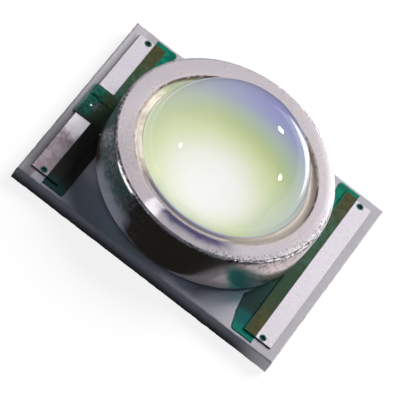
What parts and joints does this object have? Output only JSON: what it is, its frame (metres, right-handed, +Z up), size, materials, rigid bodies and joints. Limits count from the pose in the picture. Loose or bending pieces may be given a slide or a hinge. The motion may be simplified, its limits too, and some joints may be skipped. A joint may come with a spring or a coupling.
{
  "type": "high-power led",
  "caption": "Surface-mount power LED on a ceramic board: turned metal ring with a glass dome over the chip, bare solder pads and green mask at both short ends.",
  "frame": {"origin": "centre of the underside, on the plane of the solder pads", "axes": "+X along the board's long side from its two short pads to its one long pad, +Z up through the dome"},
  "size_m": [0.009, 0.007, 0.0042],
  "materials": {
    "ceramic": "matte, fine grained",
    "underside_metal": "flat plated",
    "plated_copper": "matte silver plating",
    "green_mask": "glossy, slightly see-through film",
    "ring_metal": "turned, matte top and mirror-like wall",
    "bond_adhesive": "matte",
    "solder": "satin",
    "chip_crystal": "smooth",
    "chip_silicon": "smooth",
    "gold_wire": "bright drawn wire",
    "phosphor": "pale yellow, bright in the middle",
    "clear_silicone": "clear",
    "lens_glass": "clear, polished",
    "seal_silicone": "glossy bead",
    "via_fill": "dark green, recessed"
  },
  "bodies": {
    "root": {"anode_copper_far": "plated_copper", "anode_copper_near": "plated_copper", "anode_mask": "green_mask", "anode_under_pad": "underside_metal", "cathode_copper": "plated_copper", "cathode_mask": "green_mask", "cathode_under_pad": "underside_metal", "ceramic_board": "ceramic", "chip_attach": "solder", "chip_wire_far": "gold_wire", "chip_wire_near": "gold_wire", "diode_attach": "solder", "diode_wire": "gold_wire", "led_chip": "chip_crystal", "lens": "lens_glass", "lens_seal": "seal_silicone", "phosphor_layer": "phosphor", "protection_diode": "chip_silicon", "reflector_ring": "ring_metal", "ring_bond": "bond_adhesive", "silicone_fill": "clear_silicone", "thermal_pad": "underside_metal", "via_barrel_1": "plated_copper", "via_barrel_2": "plated_copper", "via_barrel_3": "plated_copper", "via_barrel_4": "plated_copper", "via_fill_1": "via_fill", "via_fill_2": "via_fill", "via_fill_3": "via_fill", "via_fill_4": "via_fill"}
  },
  "joints": []
}
